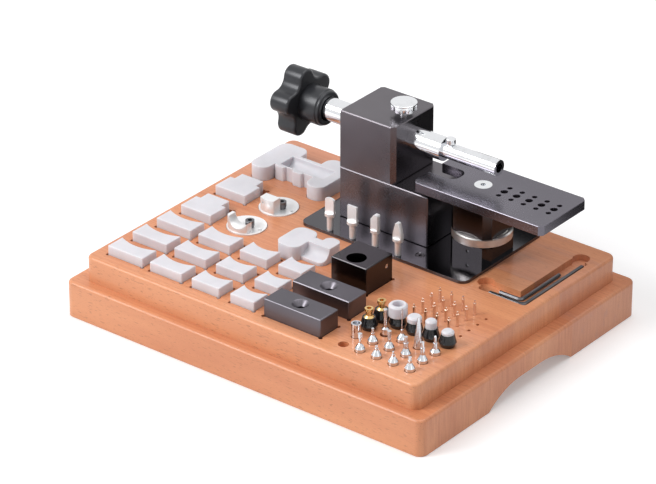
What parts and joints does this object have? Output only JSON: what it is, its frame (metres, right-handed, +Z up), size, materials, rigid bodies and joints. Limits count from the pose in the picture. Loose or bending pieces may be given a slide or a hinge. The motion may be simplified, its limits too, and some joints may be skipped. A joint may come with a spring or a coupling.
{
  "type": "watch case opener",
  "caption": "Bench watch case opener: screw press head and lifting table on a beech base that stores nylon jaws, anvil blocks, blades, pushers and hex keys.",
  "frame": {"origin": "centre of the underside of the wooden base", "axes": "+X along the spindle towards its nose, +Y to the back where the machine stands, +Z up"},
  "size_m": [0.4, 0.318, 0.1824],
  "materials": {
    "beech": "clear satin varnish over beech",
    "black_anodised": "smooth black anodised",
    "satin_anodised": "satin dark grey anodised",
    "dark_steel": "blackened steel",
    "bright_steel": "polished and plated",
    "white_nylon": "machined nylon",
    "brass": "turned brass",
    "black_rubber": "moulded rubber"
  },
  "bodies": {
    "base": {"plinth": "beech", "tool_board": "beech", "machine_plate": "black_anodised", "plate_screws": "black_anodised", "body_block": "black_anodised", "head_block": "black_anodised", "body_bolts": "dark_steel", "pedestal": "black_anodised", "pedestal_screws": "dark_steel", "guide_key": "bright_steel", "nylon_jaws_40": "white_nylon", "nylon_jaws_36": "white_nylon", "nylon_jaws_31": "white_nylon", "nylon_jaws_26": "white_nylon", "stepped_jaws": "white_nylon", "large_case_clamp": "white_nylon", "small_case_clamp": "white_nylon", "front_long_block": "satin_anodised", "rear_long_block": "satin_anodised", "tall_block": "black_anodised", "tall_block_grub": "bright_steel", "spring_discs": "bright_steel", "front_disc_segment": "bright_steel", "rear_disc_segment": "bright_steel", "disc_screws": "dark_steel", "round_blade": "bright_steel", "flat_blade": "bright_steel", "facet_blade": "bright_steel", "point_blade": "bright_steel", "small_pushers": "bright_steel", "cup_pusher": "bright_steel", "rod_pusher": "bright_steel", "cone_pusher": "bright_steel", "pin_pusher": "bright_steel", "rubber_cones": "black_rubber", "brass_tips": "brass", "nylon_cap": "white_nylon", "cap_tips": "white_nylon", "fine_pins": "bright_steel", "large_hex_key": "dark_steel", "small_hex_key": "dark_steel"},
    "quill_body": {"quill": "bright_steel"},
    "spindle_body": {"spindle": "bright_steel", "star_knob": "black_anodised", "knob_pin": "dark_steel", "bit_grub_screw": "dark_steel"},
    "nose_screw_body": {"nose_screw": "bright_steel"},
    "clamp_pad_body": {"clamp_pad": "brass"},
    "clamp_screw_body": {"clamp_screw": "bright_steel"},
    "wheel_body": {"lift_wheel": "bright_steel"},
    "table_body": {"table": "satin_anodised", "riser_block": "black_anodised", "lifting_stud": "bright_steel", "table_screw": "bright_steel", "riser_dowels": "bright_steel"}
  },
  "joints": [
    {"name": "quill_slide", "type": "slide", "parent": "base", "child": "quill_body", "axis": [1, 0, 0], "range_m": [-0.035, 0.034]},
    {"name": "spindle_turn", "type": "hinge", "parent": "quill_body", "child": "spindle_body", "pos_m": [-0.06, 0.077, 0.1495], "axis": [1, 0, 0], "continuous": true},
    {"name": "nose_screw_turn", "type": "hinge", "parent": "spindle_body", "child": "nose_screw_body", "pos_m": [0.0517, 0.077, 0.158], "axis": [0, 0, 1], "range_deg": [0, 360]},
    {"name": "clamp_pad_lift", "type": "slide", "parent": "base", "child": "clamp_pad_body", "axis": [0, 0, 1], "range_m": [0, 0.00125]},
    {"name": "clamp_screw_turn", "type": "hinge", "parent": "clamp_pad_body", "child": "clamp_screw_body", "pos_m": [-0.0005, 0.077, 0.17], "axis": [0, 0, 1], "range_deg": [0, 360]},
    {"name": "wheel_turn", "type": "hinge", "parent": "base", "child": "wheel_body", "pos_m": [0.0882, 0.077, 0.082], "axis": [0, 0, -1], "range_deg": [0, 1680]},
    {"name": "table_lift", "type": "slide", "parent": "base", "child": "table_body", "axis": [0, 0, 1], "range_m": [0, 0.00701]}
  ],
  "couplings": [
    {"joint": "clamp_pad_lift", "follows": "clamp_screw_turn", "m_per_rad": 0.00019894},
    {"joint": "table_lift", "follows": "wheel_turn", "m_per_rad": 0.00023873}
  ]
}
